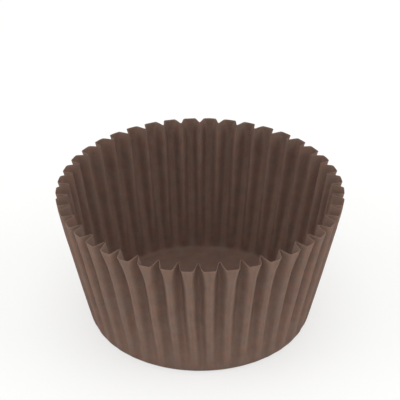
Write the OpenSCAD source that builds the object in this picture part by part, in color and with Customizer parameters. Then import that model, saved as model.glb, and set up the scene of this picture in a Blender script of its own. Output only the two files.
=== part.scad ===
// Fluted paper muffin case.
//
// The case is one round sheet pressed into a cup. The sheet is wider than the
// cup at every height, and the flutes take up the spare length: they start
// flat at the base and are deepest at the rim.
// The base lies on z = 0 and its centre is the origin. A valley between two
// ridges faces -Y.

/* [Case] */
// Base diameter, measured where the lines of base and wall meet, mm
base_d = 50.4; // [30:0.1:90]
// Length of paper in the wall, from that corner to the rim, mm
wall_l = 33.2; // [20:0.1:60]
// Lean of the wall away from the vertical, degrees
wall_lean = 10.7; // [5:0.1:25]
// Radius of the bend between base and wall, mm
bend_r = 1; // [0.8:0.1:4]

/* [Paper] */
// Thickness of the paper, mm
paper_t = 0.06; // [0.05:0.01:0.2]

/* [Flutes] */
// Number of flutes around the case
flute_n = 42; // [24:2:42]
// Share of each flute that its ridge takes up at the base
ridge_share_base = 0.5; // [0.3:0.01:0.6]
// Share of each flute that its ridge takes up in the upper wall
ridge_share_top = 0.58; // [0.4:0.01:0.7]
// Extra share that the ridges open out by at the rim
rim_opening = 0.18; // [0:0.01:0.25]
// Length of paper over which they open out and their folds sharpen, mm
rim_opening_l = 6; // [1:0.5:10]
// Share of each flute that one flank takes up in the wall, 0.5 is a zigzag
flank_share = 0.32; // [0.2:0.01:0.5]
// Share of each flute that one flank takes up at the rim
flank_share_rim = 0.18; // [0.1:0.01:0.3]
// Length of paper over which the flutes rise out of the flat base, mm
flute_start_l = 1.5; // [0.5:0.1:4]
// How crisp the folds are in the wall, higher is crisper
fold_crispness = 2; // [1.5:0.5:10]
// How crisp the folds are at the rim
rim_crispness = 6; // [1.5:0.5:10]
// How much higher the valleys end than the ridges, mm
rim_wave = 0.45; // [0:0.05:1.5]

/* [Hidden] */

paper_colour = [0.46, 0.37, 0.33];

// Bands up the bend, and where the bands of the wall end, as shares of the wall,
// closest where the ridges open out
bend_bands = 2;
wall_steps = [0.13, 0.4, 0.78, 0.91, 1];

// A fold stays this share of the way from the flank to the next mirror line
fold_limit = 0.8;

// The flutes take their form early on the way up, by this exponent
form_curve = 0.3;

// The bend turns through bend_a and starts at flat_r on the flat base
bend_a = 90 - wall_lean;
bend_tangent = bend_r * tan(bend_a / 2);
bend_l = bend_r * bend_a * PI / 180;
flat_r = base_d / 2 - bend_tangent;

// Paper distance from the edge of the flat base up to the rim
rise_l = bend_l + wall_l - bend_tangent;

// Paper distances of the levels that the skins are drawn through
levels = concat(
  [for (k = [0 : bend_bands]) bend_l * k / bend_bands],
  [for (step = wall_steps) bend_l + (rise_l - bend_l) * step]
);
level_n = len(levels);

// Places across one flute, and around a whole level, that the skins are drawn through
flute_pts = len(places(0));
ring_n = flute_n * flute_pts;

// Radius and height of the middle of the flutes at paper distance s
function mid_r(s) = s < bend_l
  ? flat_r + bend_r * sin(s / bend_r * 180 / PI)
  : base_d / 2 + (bend_tangent + s - bend_l) * sin(wall_lean);
function mid_z(s) = s < bend_l
  ? bend_r * (1 - cos(s / bend_r * 180 / PI))
  : (bend_tangent + s - bend_l) * cos(wall_lean);

// How far the flutes have taken on their form of the wall, and then of the rim, at
// paper distance s, from 0 to 1
function formed(s) = pow(s / rise_l, form_curve);
function opened(s) = pow(max(1 - (rise_l - s) / rim_opening_l, 0), 2);

// Shares of a flute that the ridge and one flank take up, and how crisp its folds are
function ridge(s) = ridge_share_base
  + (ridge_share_top - ridge_share_base) * formed(s) + rim_opening * opened(s);
function flank(s) = flank_share + (flank_share_rim - flank_share) * opened(s);
function crispness(s) = fold_crispness + (rim_crispness - fold_crispness) * opened(s);

// Share of their full depth that the flutes have near the base
function started(s) = 1 - exp(-pow(s / flute_start_l, 2));

// Flute depth from ridge to valley at s: the ring of paper there is longer than
// the circle it has to fit, and the two flanks take up what is left over
function depth(s) = let (
    step = 2 * PI / flute_n,
    room = step * mid_r(s),
    flank_w = flank(s) * room,
    flank_l = (step * (flat_r + s) - room) / 2 + flank_w
  ) started(s) * sqrt(max(flank_l * flank_l - flank_w * flank_w, 0));

// How far out the paper lies at place t across a flute, from about -1 in the valley
// at t = -0.5 and 0.5 to about 1 on the ridge at t = 0, with the folds rounded off,
// and the whole span from valley to ridge
function rounded(x, crisp) = x / pow(1 + pow(abs(x), crisp), 1 / crisp);
function outward(t, s) = rounded((ridge(s) / 2 - abs(t)) / (flank(s) / 2), crispness(s));
function span(s) = outward(0, s) - outward(0.5, s);

// Places across one flute at s: valley, fold, flank, fold, ridge and back
function places(s) = let (
    half = ridge(s) / 2,
    flank_half = flank(s) / 2,
    upper_fold = half - min(flank_half, half * fold_limit),
    lower_fold = half + min(flank_half, (0.5 - half) * fold_limit)
  ) [-0.5, -lower_fold, -half, -upper_fold, 0, upper_fold, half, lower_fold];

// Level j of the grid in the middle of the paper's thickness
function ring(j) = let (s = levels[j], across = places(s)) [
  for (i = [0 : ring_n - 1])
    let (
      t = across[i % flute_pts],
      out = outward(t, s),
      turn = 360 / flute_n * (floor(i / flute_pts) + 0.5 + t),
      r = mid_r(s) + out * depth(s) / span(s),
      z = paper_t / 2 + mid_z(s) - out * s / rise_l * rim_wave / 2
    )
    [r * sin(turn), -r * cos(turn), z]
];

function unit(v) = v / norm(v);

// Outward direction at a point of the grid, straight down on the flat base
function outward_dir(grid, i, j) = j == 0 ? [0, 0, -1] : unit(cross(
    grid[j][(i + 1) % ring_n] - grid[j][(i + ring_n - 1) % ring_n],
    grid[min(j + 1, level_n - 1)][i] - grid[j - 1][i]
  ));

// The two skins of the paper, offset from the middle by side * thickness
function skin(grid, side) = [
  for (j = [0 : level_n - 1], i = [0 : ring_n - 1])
    grid[j][i] + side * paper_t / 2 * outward_dir(grid, i, j)
];

// Two triangles from a, b to d, c on the next level, cut along the flute's own
// mirror line so that both halves of a flute match
function cell(a, b, c, d, left) = left ? [[a, c, b], [a, d, c]] : [[a, d, b], [b, d, c]];

function skin_faces(first, flip) = [
  for (j = [0 : level_n - 2], i = [0 : ring_n - 1])
    let (
      next = (i + 1) % ring_n,
      a = first + j * ring_n + i,
      b = first + j * ring_n + next,
      tris = cell(a, b, b + ring_n, a + ring_n, i % flute_pts < flute_pts / 2)
    )
    for (t = tris) flip ? [t[0], t[2], t[1]] : t
];

module paper_case() {
  grid = [for (j = [0 : level_n - 1]) ring(j)];
  skin_n = ring_n * level_n;
  rim = ring_n * (level_n - 1);
  under = 2 * skin_n;
  over = under + 1;
  color(paper_colour)
    polyhedron(
      points = concat(skin(grid, 1), skin(grid, -1), [[0, 0, 0], [0, 0, paper_t]]),
      faces = concat(
        skin_faces(0, false),
        skin_faces(skin_n, true),
        [for (i = [0 : ring_n - 1]) [under, i, (i + 1) % ring_n]],
        [for (i = [0 : ring_n - 1]) [over, skin_n + (i + 1) % ring_n, skin_n + i]],
        [for (i = [0 : ring_n - 1], t = cell(rim + i, rim + (i + 1) % ring_n,
            skin_n + rim + (i + 1) % ring_n, skin_n + rim + i, i % flute_pts < flute_pts / 2)) t]
      )
    );
}

paper_case();
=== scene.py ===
import bmesh
import bpy
import math
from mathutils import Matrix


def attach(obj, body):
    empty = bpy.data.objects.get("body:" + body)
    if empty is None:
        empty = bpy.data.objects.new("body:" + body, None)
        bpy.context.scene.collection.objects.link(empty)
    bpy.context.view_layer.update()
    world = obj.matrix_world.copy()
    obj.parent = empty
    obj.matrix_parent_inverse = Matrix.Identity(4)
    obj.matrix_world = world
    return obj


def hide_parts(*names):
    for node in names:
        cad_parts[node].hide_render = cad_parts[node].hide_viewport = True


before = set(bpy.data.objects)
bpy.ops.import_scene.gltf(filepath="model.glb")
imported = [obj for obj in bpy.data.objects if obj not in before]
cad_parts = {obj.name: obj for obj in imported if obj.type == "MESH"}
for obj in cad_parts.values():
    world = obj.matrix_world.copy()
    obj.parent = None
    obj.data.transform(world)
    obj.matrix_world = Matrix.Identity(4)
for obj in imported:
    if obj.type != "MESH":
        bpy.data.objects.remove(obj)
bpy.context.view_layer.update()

mm = 0.001


class Value:
    # A number or vector on its way through a node tree
    def __init__(self, tree, socket):
        self.tree, self.socket = tree, socket

    def op(self, operation, *others, swap=False):
        return self.tree.math(operation, *((*others, self) if swap else (self, *others)))

    def atLeast(self, low):
        return self.op("MAXIMUM", low)

    def atMost(self, high):
        return self.op("MINIMUM", high)

    def clamped(self):
        return self.atLeast(0.0).atMost(1.0)

    def __add__(self, other):
        return self.op("ADD", other)

    def __radd__(self, other):
        return self.op("ADD", other)

    def __sub__(self, other):
        return self.op("SUBTRACT", other)

    def __rsub__(self, other):
        return self.op("SUBTRACT", other, swap=True)

    def __mul__(self, other):
        return self.op("MULTIPLY", other)

    def __rmul__(self, other):
        return self.op("MULTIPLY", other)

    def __truediv__(self, other):
        return self.op("DIVIDE", other)

    def __rtruediv__(self, other):
        return self.op("DIVIDE", other, swap=True)

    def __pow__(self, other):
        return self.op("POWER", other)

    def __neg__(self):
        return self.op("MULTIPLY", -1.0)

    def __abs__(self):
        return self.op("ABSOLUTE")


class Tree:
    # Adds nodes to a shader or geometry tree
    def __init__(self, nodeTree):
        self.nodeTree = nodeTree

    def node(self, kind, settings=None, **sockets):
        made = self.nodeTree.nodes.new(kind)
        for name, value in (settings or {}).items():
            setattr(made, name, value)
        for name, value in sockets.items():
            self.feed(self.find(made.inputs, name.replace("_", " ")), value)
        return made

    def find(self, sockets, name):
        return next(s for s in sockets if s.enabled and name in (s.name, s.identifier))

    def feed(self, socket, value):
        if isinstance(value, Value):
            self.nodeTree.links.new(value.socket, socket)
        elif socket.type == "RGBA":
            socket.default_value = (*value, 1.0)
        else:
            socket.default_value = value

    def out(self, made, name=None):
        if name is None:
            return Value(self, next(s for s in made.outputs if s.enabled))
        return Value(self, self.find(made.outputs, name))

    def math(self, operation, *values):
        made = self.node("ShaderNodeMath", {"operation": operation})
        for socket, value in zip(made.inputs, values):
            self.feed(socket, value)
        return self.out(made)

    def vector(self, operation, *values):
        made = self.node("ShaderNodeVectorMath", {"operation": operation})
        for socket, value in zip((s for s in made.inputs if s.enabled), values):
            self.feed(socket, value)
        return self.out(made)

    def join(self, x, y, z):
        return self.out(self.node("ShaderNodeCombineXYZ", X=x, Y=y, Z=z))

    def split(self, vector):
        made = self.node("ShaderNodeSeparateXYZ", Vector=vector)
        return [self.out(made, axis) for axis in "XYZ"]

    def noise(self, place, scale, detail=2.0, roughness=0.5, distortion=0.0):
        return self.out(self.node("ShaderNodeTexNoise", {"noise_dimensions": "3D"}, Vector=place,
                                  Scale=scale, Detail=detail, Roughness=roughness,
                                  Distortion=distortion), "Fac")

    def mix(self, factor, first, second):
        return self.out(self.node("ShaderNodeMix", {"data_type": "RGBA"}, Factor=factor,
                                  A=first, B=second))

    def choose(self, test, no, yes):
        # Both values are computed, so neither may be undefined
        return no + (yes - no) * test


# The paper case: one sheet of paper pressed into a fluted cup

paperCase = {
    "shape": {                           # millimetres where it is a length
        "Flutes": 42,
        "Base Diameter": 50.4,
        "Wall Length": 33.2,
        "Wall Lean": 10.7,               # degrees away from the vertical
        "Bend Radius": 1.0,
        "Paper Thickness": 0.06,
        "Ridge Share Base": 0.5,
        "Ridge Share Top": 0.58,
        "Rim Opening": 0.18,             # how much wider the ridges get at the rim
        "Rim Opening Length": 6.0,
        "Flank Share": 0.32,
        "Flank Share Rim": 0.18,
        "Fold Crispness": 2.0,
        "Rim Crispness": 6.0,
        "Fade Length": 1.5,              # of the smooth start at the base
        "Rim Wave": 0.45,
        "Form Curve": 0.3,
    },
    "wear": {                            # how far this case is from an even one
        "Drift": 0.07,                   # of the flutes at the sides and back, share of a flute
        "Width Change": 0.04,            # of a ridge, as a share of a flute
        "Depth Change": 0.08,            # as a share of the depth
        "Cockle": 0.06,                  # soft dents in the paper, mm
        "Cockle Scale": 0.22,            # higher puts the dents closer together
        "Cockle Start": 0.25,            # share of the wall over which they get their depth
        "Rim Change": 0.12,              # height of the cut edge, mm
        "Seed": 4.0,
    },
    "turns": {                           # of each front ridge away from even spacing, degrees,
                                         # from left to right
        "base": [2.2, 2.0, 2.6, 1.7, 2.3, 2.1, 2.2, 1.0, 0.7, 0.0, 0.4, -0.4, -0.9, -0.4],
        "wall": [0.5, 0.5, 1.4, 1.3, 1.0, 0.7, 0.2, -0.2, -0.5, -0.3, -0.9, -0.8, -0.7, -0.6],
        "rim": [-0.3, -0.5, -0.8, -0.8, -0.3, 0.0, -0.7, -0.7, -0.3, 0.0, 0.0, 0.9, 0.6, 0.0],
        "limit": 3.0,                    # the most that the curves can hold
        "baseTo": 0.55,                  # share of the wall where the turns of the base end
        "rimFrom": 0.6,                  # share of the wall where the turns of the rim begin
    },
    "mesh": {
        "Points Per Flute": 20,
        "Levels": 50,
        "Base Levels": 6,
        "Base Curve": 0.7,               # below 1 puts more rings near the bend
        "Wall Curve": 1.35,              # above 1 puts more rings near the bend
        "Sharp Angle": 50,               # degrees past which an edge isn't shaded smooth
    },
    "folds": {                           # where the paper counts as folded, for its colour: paler there, partly crease whitening and partly a painted highlight
        "reach": 5.0,                    # the farthest from a fold that is told apart, mm
        "fall": 3.2,                     # how fast a fold's mark dies out, for each mm
        "depth": 1.2,                    # depth of flutes past which folds are fully marked, mm
    },
}


def caseTree():
    mesh, turns, folds = (paperCase[part] for part in ("mesh", "turns", "folds"))
    group = bpy.data.node_groups.new("fluted_case", "GeometryNodeTree")
    tree = Tree(group)
    sockets = group.interface
    sockets.new_socket("Geometry", in_out="INPUT", socket_type="NodeSocketGeometry")
    counts = {name: mesh[name] for name in ("Points Per Flute", "Levels")}
    for name, value in {**paperCase["shape"], **paperCase["wear"], **counts}.items():
        kind = "NodeSocketInt" if isinstance(value, int) else "NodeSocketFloat"
        sockets.new_socket(name, in_out="INPUT", socket_type=kind).default_value = value
    sockets.new_socket("Paper", in_out="INPUT", socket_type="NodeSocketMaterial")
    sockets.new_socket("Geometry", in_out="OUTPUT", socket_type="NodeSocketGeometry")
    given = tree.node("NodeGroupInput")
    size = lambda name: tree.out(given, name)

    # The grid: x goes round the case, y from the middle of the base to the rim
    flutes = size("Flutes")
    grid = tree.node("GeometryNodeMeshGrid", Size_X=1.0, Size_Y=1.0, Vertices_Y=size("Levels"),
                     Vertices_X=flutes * size("Points Per Flute") + 1)
    flat = tree.split(tree.out(tree.node("GeometryNodeInputPosition")))
    around, up = flat[0] + 0.5, flat[1] + 0.5

    # Sizes that follow from the given ones
    lean = size("Wall Lean") * (math.pi / 180)
    bendAngle = math.pi / 2 - lean
    bend = size("Bend Radius")
    bendTangent = bend * (bendAngle / 2).op("TANGENT")
    bendLength = bend * bendAngle
    flatRadius = size("Base Diameter") / 2 - bendTangent
    riseLength = bendLength + size("Wall Length") - bendTangent

    # Paper distance from the edge of the flat base, 0 on the base, and its share of the wall
    baseShare = mesh["Base Levels"] / (mesh["Levels"] - 1)
    baseUp = (up / baseShare).clamped()
    wallUp = ((up - baseShare) / (1 - baseShare)).atLeast(0.0)
    wallUp = tree.choose(wallUp.op("LESS_THAN", 0.0001), wallUp, 0.0)    # drops rounding errors
    paper = riseLength * wallUp ** mesh["Wall Curve"]
    baseRadius = flatRadius * baseUp ** mesh["Base Curve"]
    sheetRadius = baseRadius + paper
    share = paper / riseLength

    # Radius and height of the middle of the flutes
    bent = (paper / bend).atMost(bendAngle)
    straight = (paper - bendLength).atLeast(0.0)
    middleRadius = baseRadius + bend * bent.op("SINE") + straight * lean.op("SINE")
    middleHeight = bend * (1 - bent.op("COSINE")) + straight * lean.op("COSINE")

    # Smooth unevenness round the case, the same at both ends of the grid
    def uneven(scale, layer, twist=0.0):
        angle = around * (2 * math.pi)
        seedStep, layerStep = 7.3, 3.1   # far enough that no two noises are alike
        place = tree.join(angle.op("COSINE") * scale, angle.op("SINE") * scale,
                          size("Seed") * seedStep + layer * layerStep + share * twist)
        return (tree.noise(place, 1.0, 1.0) - 0.5) * 2

    # The front ridges are turned one by one, the others by chance
    fromFront = flutes * ((around + 0.5).op("FRACT") - 0.5)
    reach = len(turns["wall"]) / 2 + 1
    acrossFront = (fromFront / (2 * reach) + 0.5).clamped()

    def turned(part):
        curve = tree.node("ShaderNodeFloatCurve", Value=acrossFront)
        points = curve.mapping.curves[0].points
        for k, degrees in enumerate(turns[part]):
            points.new((k + 1.5) / (2 * reach), 0.5 + degrees / turns["limit"] / 2)
        points[0].location, points[-1].location = (0.0, 0.5), (1.0, 0.5)
        curve.mapping.update()
        return (tree.out(curve) - 0.5) * 2 * turns["limit"] * flutes / 360

    nearRim = ((share - turns["rimFrom"]) / (1 - turns["rimFrom"])).atLeast(0.0) ** 2.0
    nearBase = (1 - share / turns["baseTo"]).atLeast(0.0)
    frontDrift = tree.choose(nearRim, turned("wall"), turned("rim"))
    frontDrift = tree.choose(nearBase, frontDrift, turned("base"))
    beside = ((abs(fromFront) - reach + 2) / 2).clamped()
    drift = uneven(scale=7.0, layer=1, twist=0.8) + uneven(scale=2.0, layer=2, twist=0.5)
    drift = frontDrift + drift * size("Drift") * beside
    widthChange = uneven(scale=9.0, layer=3, twist=0.6) * size("Width Change")
    depthChange = uneven(scale=8.0, layer=4, twist=0.7) * size("Depth Change")

    # Place across a flute: 0 on its ridge, -0.5 and 0.5 in its valleys
    along = around * flutes
    across = along.op("FRACT") - 0.5

    # Shares of a flute that the ridge and one flank take up
    formed = share.atLeast(0.000001) ** size("Form Curve")     # 0 is never raised to a power
    opened = (1 - (riseLength - paper) / size("Rim Opening Length")).atLeast(0.0) ** 2.0
    ridgeShare = size("Ridge Share Base") + widthChange * formed \
        + (size("Ridge Share Top") - size("Ridge Share Base")) * formed \
        + size("Rim Opening") * opened
    flankShare = size("Flank Share") + (size("Flank Share Rim") - size("Flank Share")) * opened

    # Rounded folds: how far out the paper lies, about -1 in a valley and 1 on a ridge
    crisp = size("Fold Crispness") + (size("Rim Crispness") - size("Fold Crispness")) * opened
    rounded = lambda ramp: ramp / (1 + abs(ramp) ** crisp) ** (1 / crisp)
    ramp = (ridgeShare / 2 - abs(across)) / (flankShare / 2)
    outward = rounded(ramp)
    span = rounded(ridgeShare / flankShare) + rounded((1 - ridgeShare) / flankShare)

    # The flanks take up the paper that the circle has no room for
    step = 2 * math.pi / flutes
    room = step * middleRadius
    flank = flankShare * room
    flankLength = (step * sheetRadius - room) / 2 + flank
    started = 1 - (-(paper / size("Fade Length")) ** 2.0).op("EXPONENT")
    depth = (flankLength * flankLength - flank * flank).atLeast(0.0).op("SQRT") \
        * (1 + depthChange) * started

    turn = (along + drift) * step
    radius = middleRadius + outward * depth / span
    rimChange = uneven(scale=11.0, layer=5) * size("Rim Change") * opened
    height = size("Paper Thickness") / 2 + middleHeight \
        - outward * share * size("Rim Wave") / 2 + rimChange
    place = tree.join(radius * turn.op("SINE") * mm, radius * turn.op("COSINE") * -mm, height * mm)

    # The place on the flat sheet, and where the folds and the rim are, stored before the
    # grid is shaped because they read its flat places
    sheetTurn = around * (2 * math.pi)
    sheet = tree.join(sheetRadius * sheetTurn.op("SINE"),
                      sheetRadius * -sheetTurn.op("COSINE"), 0.0)
    foldGap = (abs(abs(ramp) - 1.0) * flankShare / 2 * room).atMost(folds["reach"])
    fold = (foldGap * -folds["fall"]).op("EXPONENT") * (depth / folds["depth"]).atMost(1.0)
    kept = grid
    for name, value in (("sheetPlace", sheet), ("paperMarks", tree.join(fold, share, outward))):
        kept = tree.node("GeometryNodeStoreNamedAttribute",
                         {"data_type": "FLOAT_VECTOR", "domain": "POINT"},
                         Geometry=tree.out(kept), Name=name, Value=value)
    shaped = tree.node("GeometryNodeSetPosition", Geometry=tree.out(kept), Position=place)

    # One closed surface, then soft dents
    merged = tree.node("GeometryNodeMergeByDistance", Geometry=tree.out(shaped),
                       Distance=0.001 * mm)
    here = tree.out(tree.node("GeometryNodeInputPosition"))
    softly = tree.noise(tree.vector("SCALE", here, 1 / mm), size("Cockle Scale")) - 0.5
    marks = tree.out(tree.node("GeometryNodeInputNamedAttribute", {"data_type": "FLOAT_VECTOR"},
                               Name="paperMarks"), "Attribute")
    onWall = (tree.split(marks)[1] / size("Cockle Start")).atMost(1.0)
    normal = tree.out(tree.node("GeometryNodeInputNormal"), "Normal")
    dent = tree.vector("SCALE", normal, softly * 2 * size("Cockle") * mm * onWall)
    dented = tree.node("GeometryNodeSetPosition", Geometry=tree.out(merged), Offset=dent)
    smooth = tree.node("GeometryNodeSetShadeSmooth", Geometry=tree.out(dented))
    real = tree.node("GeometryNodeRealizeInstances", Geometry=tree.out(smooth))
    painted = tree.node("GeometryNodeSetMaterial", Geometry=tree.out(real),
                        Material=size("Paper"))
    tree.node("NodeGroupOutput", Geometry=tree.out(painted))
    return group


def giveInputs(modifier, values):
    for item in modifier.node_group.interface.items_tree:
        if item.item_type == "SOCKET" and item.in_out == "INPUT" and item.name in values:
            modifier[item.identifier] = values[item.name]


def makeCase(material):
    blank = bpy.data.objects.new("case_blank", bpy.data.meshes.new("case_blank"))
    bpy.context.collection.objects.link(blank)
    nodes = blank.modifiers.new("Flutes", "NODES")
    nodes.node_group = caseTree()
    given = {**paperCase["shape"], **paperCase["wear"], **paperCase["mesh"], "Paper": material}
    giveInputs(nodes, given)
    solid = blank.modifiers.new("Paper", "SOLIDIFY")
    solid.thickness, solid.offset = paperCase["shape"]["Paper Thickness"] * mm, 0.0
    solid.use_even_offset = False
    depsgraph = bpy.context.evaluated_depsgraph_get()
    mesh = bpy.data.meshes.new_from_object(blank.evaluated_get(depsgraph))
    bpy.data.objects.remove(blank)
    mesh.name = "fluted_paper_case"
    case = bpy.data.objects.new("fluted_paper_case", mesh)
    bpy.context.collection.objects.link(case)
    sharpenRim(mesh)
    return case


def sharpenRim(mesh):
    edit = bmesh.new()
    edit.from_mesh(mesh)
    sharp = math.radians(paperCase["mesh"]["Sharp Angle"])
    for edge in edit.edges:
        if len(edge.link_faces) == 2 and edge.calc_face_angle() > sharp:
            edge.smooth = False
    edit.to_mesh(mesh)
    edit.free()


# Brown greaseproof paper, patterned by its place on the flat sheet, in millimetres

paperLook = {
    "colour": (0.178, 0.1143, 0.0905),
    "dark": (0.125, 0.0800, 0.0633),
    "red": (0.200, 0.1076, 0.0808),
    "olive": (0.160, 0.1160, 0.0930),
    # The pale colour goes on the cut edge and on the folds, where it is partly a painted highlight
    "pale": (0.277, 0.1808, 0.1420),
    "tint": 0.7,                     # how far the red and olive patches go
    "foldWhiteningAndHighlight": 0.28,            # of the paper along the edges of the ridges: partly crease whitening, partly a painted highlight
    "valleyPaleness": 0.2,           # of the folds beside the valleys, as a share of that, lower because the painted highlight is on the ridge edges
    "foldGrain": (0.4, 1.2),         # least paleness along a fold, and what the fibres add
    "cutPaleness": 0.15,             # of the cut edge
    "cutFrom": 0.985,                # share of the wall where the cut edge begins
    "roughness": 0.66,
    "fibreRoughness": 0.2,           # how much the fibres change it
    "foldRoughness": 0.1,            # how much the folds add to it
    "relief": 0.62,
    "reliefDepth": 0.08 * mm,
    "specular": 0.1,
    "ior": 1.45,
    "streaks": 48.0,                 # fine creases up the wall, higher is finer
    "streakLength": 0.12,            # higher is shorter
    "wallStart": 0.125,              # share of the wall over which they begin and the base's end
    "pressLines": 0.85,              # distance between the faint lines across the ridges, mm
    "pressWaver": 6.0,               # how far the lines wander with the clouds, in radians
    "pressFrom": 0.55,               # share of the wall where the lines begin
    "pressRidge": 0.4,               # how far out the paper is where they begin, 1 on a ridge
    "creaseEnds": 1.6,               # how far the creases of the flutes run into the base, mm
    # Scale, detail, roughness and, where there is any, distortion of each noise in the sheet
    "grain": {
        "cloud": (0.35, 3.0, 0.55),      # cloudy formation
        "patch": (0.3, 2.0, 0.5),        # of red and olive
        "fibre": (2.2, 5.0, 0.65, 0.6),  # of about a millimetre
        "fleck": (5.5, 2.0, 0.6),        # specks, in the relief only
        "streak": (1.0, 3.0, 0.6),       # fine creases up the wall
    },
    # How much each of them, and of the marks of the press, changes the shade, tint and relief
    "shadeBy": {"middle": 0.72, "cloud": 1.5, "fibre": 1.2, "streak": 0.7},
    "tintBy": {"patch": 3.5, "fibre": 1.5},
    "reliefBy": {"fibre": 0.55, "fleck": 0.3, "cloud": 0.5, "streak": 0.9, "pressLines": 1.6,
                 "creaseEnds": 2.5},
}


def flatRadius():
    # Of the base, up to where it bends into the wall
    shape = paperCase["shape"]
    halfBend = math.radians(90 - shape["Wall Lean"]) / 2
    return shape["Base Diameter"] / 2 - shape["Bend Radius"] * math.tan(halfBend)


def makePaper():
    material = bpy.data.materials.new("brown_greaseproof_paper")
    material.use_nodes = True
    material.node_tree.nodes.clear()
    tree = Tree(material.node_tree)

    stored = lambda name: tree.out(tree.node("ShaderNodeAttribute", {"attribute_name": name}),
                                   "Vector")
    sheet = stored("sheetPlace")
    fold, share, outward = tree.split(stored("paperMarks"))
    reach = tree.vector("LENGTH", sheet)
    onWall = (share / paperLook["wallStart"]).atMost(1.0)
    grain = paperLook["grain"]
    cloud, patch, fibre, fleck = (tree.noise(sheet, *grain[name])
                                  for name in ("cloud", "patch", "fibre", "fleck"))

    # Fine creases that run up the wall from the base
    spoke = tree.vector("SCALE", tree.vector("NORMALIZE", sheet), paperLook["streaks"])
    spoke = tree.vector("ADD", spoke, tree.join(0.0, 0.0, reach * paperLook["streakLength"]))
    streak = (tree.noise(spoke, *grain["streak"]) - 0.5) * onWall

    # Faint lines that the press leaves across the upper ridges
    lines = reach * (2 * math.pi / paperLook["pressLines"]) + cloud * paperLook["pressWaver"]
    pressed = lines.op("SINE") * (outward - paperLook["pressRidge"]).atLeast(0.0) \
        * (share - paperLook["pressFrom"]).atLeast(0.0) * fibre

    # The creases of the flutes run out in the edge of the base
    nearWall = ((reach - flatRadius()) / paperLook["creaseEnds"] + 1).atLeast(0.0) ** 2.0
    creaseEnds = outward * nearWall.atMost(1.0) * (1 - onWall)

    # Colour: red and olive patches, darker clouds, paler folds (crease whitening, and a painted
    # highlight on the ridge edges) and a paler cut edge
    by = paperLook["tintBy"]
    redness = (patch - 0.5) * by["patch"] + (fibre - 0.5) * by["fibre"] + 0.5
    tinted = tree.mix(redness.clamped(), paperLook["olive"], paperLook["red"])
    colour = tree.mix(paperLook["tint"], paperLook["colour"], tinted)
    by = paperLook["shadeBy"]
    shade = (cloud - 0.5) * by["cloud"] + (fibre - 0.5) * by["fibre"] + streak * by["streak"] \
        + by["middle"]
    colour = tree.mix(shade.clamped(), paperLook["dark"], colour)
    valley = paperLook["valleyPaleness"]
    least, added = paperLook["foldGrain"]
    # Paler along the folds, most along the ridge edges: partly the whitening of the creases,
    # partly a painted highlight where the ridges catch the light
    ridgeFoldWhiteningAndHighlight = fold * (outward.atLeast(0.0) * (1 - valley) + valley) * (least + fibre * added)
    cut = ((share - paperLook["cutFrom"]) / (1 - paperLook["cutFrom"])).atLeast(0.0)
    pale = ridgeFoldWhiteningAndHighlight * paperLook["foldWhiteningAndHighlight"] + cut * paperLook["cutPaleness"]
    colour = tree.mix(pale.atMost(1.0), colour, paperLook["pale"])

    rough = paperLook["roughness"] + (fibre - 0.5) * paperLook["fibreRoughness"] \
        + fold * paperLook["foldRoughness"]
    by = paperLook["reliefBy"]
    relief = fibre * by["fibre"] + fleck * by["fleck"] + cloud * by["cloud"] \
        + streak * by["streak"] + pressed * by["pressLines"] + creaseEnds * by["creaseEnds"]
    bump = tree.node("ShaderNodeBump", Strength=paperLook["relief"],
                     Distance=paperLook["reliefDepth"], Height=relief)
    shader = tree.node("ShaderNodeBsdfPrincipled", Base_Color=colour, Roughness=rough,
                       IOR=paperLook["ior"], Specular_IOR_Level=paperLook["specular"],
                       Normal=tree.out(bump))
    tree.node("ShaderNodeOutputMaterial", Surface=tree.out(shader))
    return material


# Camera, light and floor

cameraView = {
    "place": (0.0, -390 * mm, 277.1 * mm),
    "tilt": 57.63,                   # degrees up from straight down
    "sensor": 36.0,
    "lens": 182.6,
    "clip": (0.01, 20.0),
}

lampColour = (1.0, 0.975, 0.94)      # a little warmer than the sky light

lamps = {                            # metres and watts, each lamp faces the case
    "left": {"place": (-0.75, -0.12, 0.45), "size": 0.6, "power": 2.2},
    "right": {"place": (0.75, -0.12, 0.45), "size": 0.6, "power": 2.2},
    "front": {"place": (0.0, -0.75, 0.45), "size": 0.5, "power": 1.2},
    "back": {"place": (0.1, 0.6, 0.6), "size": 0.8, "power": 1.0},
    "top": {"place": (0.0, -0.1, 0.9), "size": 0.5, "power": 1.4},
}

floorLook = {
    "edge": 3.0,                     # how far it reaches each way, metres
    "height": -0.02 * mm,            # just clear of the base
    "colour": (0.86, 0.86, 0.85),
    "whiteness": 0.6,                # how far the camera sees it as plain white
    "shadowTo": 0.1,                 # past this distance it goes over to all white, metres
    "whiteFrom": 0.4,
}

skyLight = {
    "colour": (0.965, 0.99, 1.0),
    "strength": 0.72,
}

white = (1.0, 1.0, 1.0)


def makeCamera():
    data = bpy.data.cameras.new("camera")
    data.sensor_width, data.lens = cameraView["sensor"], cameraView["lens"]
    data.clip_start, data.clip_end = cameraView["clip"]
    camera = bpy.data.objects.new("camera", data)
    camera.location = cameraView["place"]
    camera.rotation_euler = (math.radians(cameraView["tilt"]), 0.0, 0.0)
    bpy.context.collection.objects.link(camera)
    bpy.context.scene.camera = camera


def makeLamps():
    for name, lamp in lamps.items():
        data = bpy.data.lights.new(name, "AREA")
        data.size, data.energy, data.color = lamp["size"], lamp["power"], lampColour
        light = bpy.data.objects.new(name, data)
        light.location = lamp["place"]
        toCase = -light.location
        light.rotation_euler = toCase.to_track_quat("-Z", "Y").to_euler()
        bpy.context.collection.objects.link(light)


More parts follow.
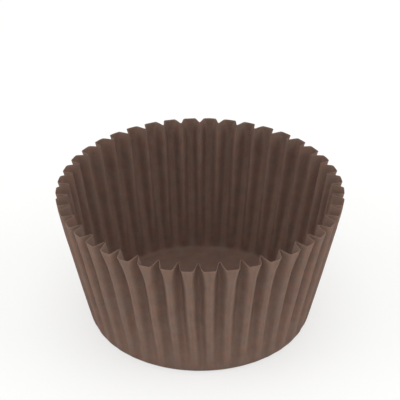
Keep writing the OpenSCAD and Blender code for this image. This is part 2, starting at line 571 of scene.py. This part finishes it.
def seenPlainly(tree):
    # 1 for the camera, and for gloss and clear things, 0 for light on its way
    rays = tree.node("ShaderNodeLightPath")
    return tree.out(rays, "Is Camera Ray").atLeast(tree.out(rays, "Is Glossy Ray")) \
        .atLeast(tree.out(rays, "Is Transmission Ray"))


def makeFloor():
    mesh = bpy.data.meshes.new("floor")
    edge, low = floorLook["edge"], floorLook["height"]
    corners = [(-edge, -edge, low), (edge, -edge, low), (edge, edge, low), (-edge, edge, low)]
    mesh.from_pydata(corners, [], [(0, 1, 2, 3)])
    floor = bpy.data.objects.new("floor", mesh)
    bpy.context.collection.objects.link(floor)
    material = bpy.data.materials.new("pale_floor")
    material.use_nodes = True
    material.node_tree.nodes.clear()
    tree = Tree(material.node_tree)
    lit = tree.node("ShaderNodeBsdfDiffuse", Color=floorLook["colour"])
    plain = tree.node("ShaderNodeEmission", Color=white, Strength=1.0)
    away = tree.vector("LENGTH", tree.out(tree.node("ShaderNodeNewGeometry"), "Position"))
    away = (away - floorLook["shadowTo"]) / (floorLook["whiteFrom"] - floorLook["shadowTo"])
    plainness = floorLook["whiteness"] + away.clamped() * (1 - floorLook["whiteness"])
    both = tree.node("ShaderNodeMixShader", Fac=seenPlainly(tree) * plainness)
    tree.feed(both.inputs[1], tree.out(lit))
    tree.feed(both.inputs[2], tree.out(plain))
    tree.node("ShaderNodeOutputMaterial", Surface=tree.out(both))
    mesh.materials.append(material)


def makeWorld():
    world = bpy.data.worlds.new("studio")
    bpy.context.scene.world = world
    world.use_nodes = True
    world.node_tree.nodes.clear()
    tree = Tree(world.node_tree)
    seen = seenPlainly(tree)
    background = tree.node("ShaderNodeBackground", Color=tree.mix(seen, skyLight["colour"], white),
                           Strength=skyLight["strength"] + seen * (1 - skyLight["strength"]))
    tree.node("ShaderNodeOutputWorld", Surface=tree.out(background))


paper = makePaper()
print("paper ready")
case = makeCase(paper)
print("case ready:", len(case.data.vertices), "points,", len(case.data.polygons), "faces")
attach(case, "root")
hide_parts("paper_case")

makeCamera()
makeLamps()
makeFloor()
makeWorld()
bpy.context.scene.view_settings.view_transform = "Standard"
print("studio ready")
